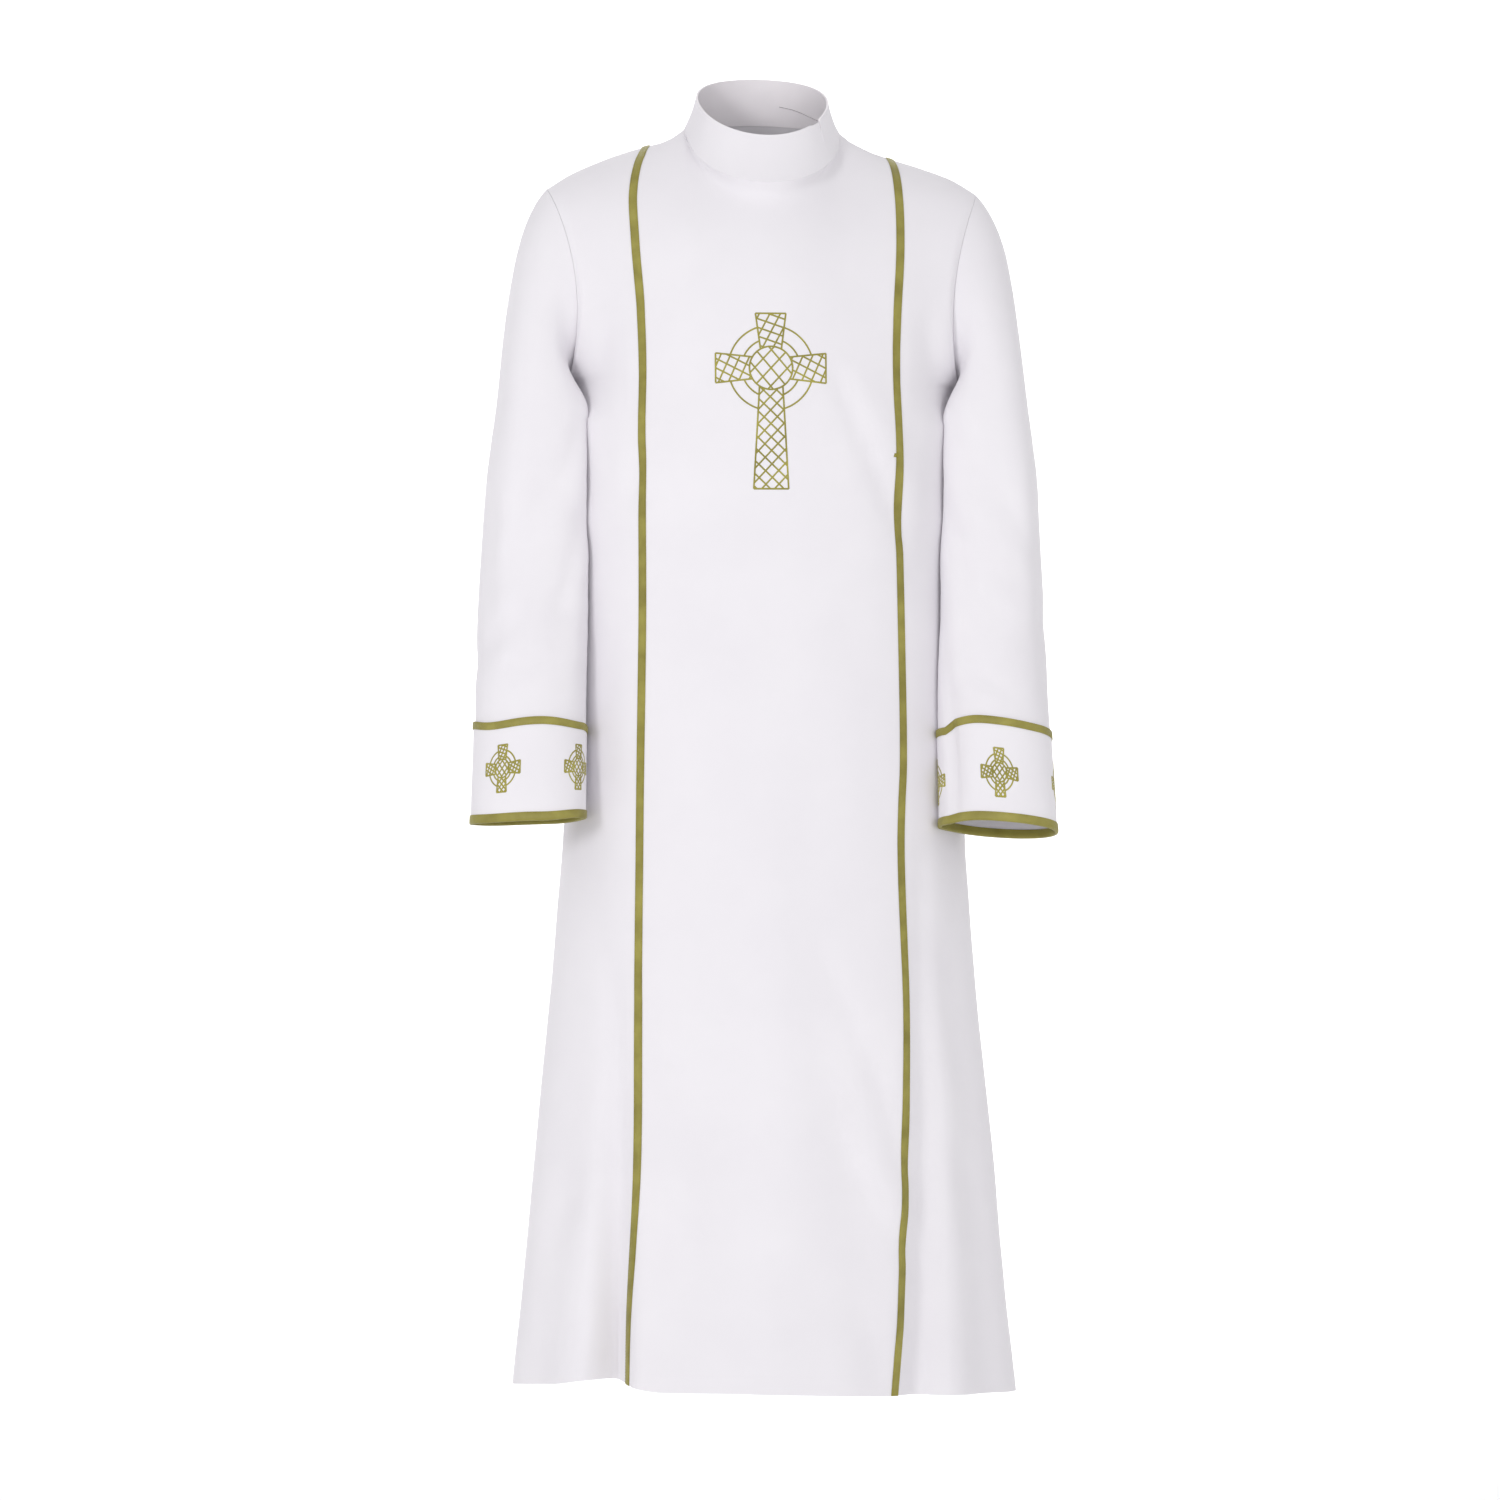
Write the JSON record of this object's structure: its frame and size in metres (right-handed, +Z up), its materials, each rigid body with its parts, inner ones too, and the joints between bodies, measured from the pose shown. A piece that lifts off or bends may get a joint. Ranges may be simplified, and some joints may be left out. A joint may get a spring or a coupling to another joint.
{
  "type": "priest robe",
  "caption": "White ankle-length priest robe with a standing collar, long set-in sleeves, banded cuffs and gold satin ribbons down the front and round the cuffs",
  "frame": {"origin": "middle of the neck's base, level with the neck-shoulder points, where the wearer's neck and shoulders carry the robe", "axes": "+Z up, the front faces -Y, +X is the wearer's left"},
  "size_m": [0.6114, 0.3287, 1.3838],
  "materials": {
    "white_cloth": "smooth matt white woven polyester",
    "gold_ribbon": "olive-gold satin ribbon"
  },
  "bodies": {
    "root": {"front_panel": "white_cloth", "front_side_right": "white_cloth", "front_side_left": "white_cloth", "back": "white_cloth", "sleeve_right": "white_cloth", "sleeve_left": "white_cloth", "cuff_right": "white_cloth", "cuff_left": "white_cloth", "collar": "white_cloth", "front_ribbon_right": "gold_ribbon", "front_ribbon_left": "gold_ribbon", "cuff_ribbon_right": "gold_ribbon", "cuff_ribbon_left": "gold_ribbon", "cuff_binding_right": "gold_ribbon", "cuff_binding_left": "gold_ribbon"}
  },
  "joints": []
}
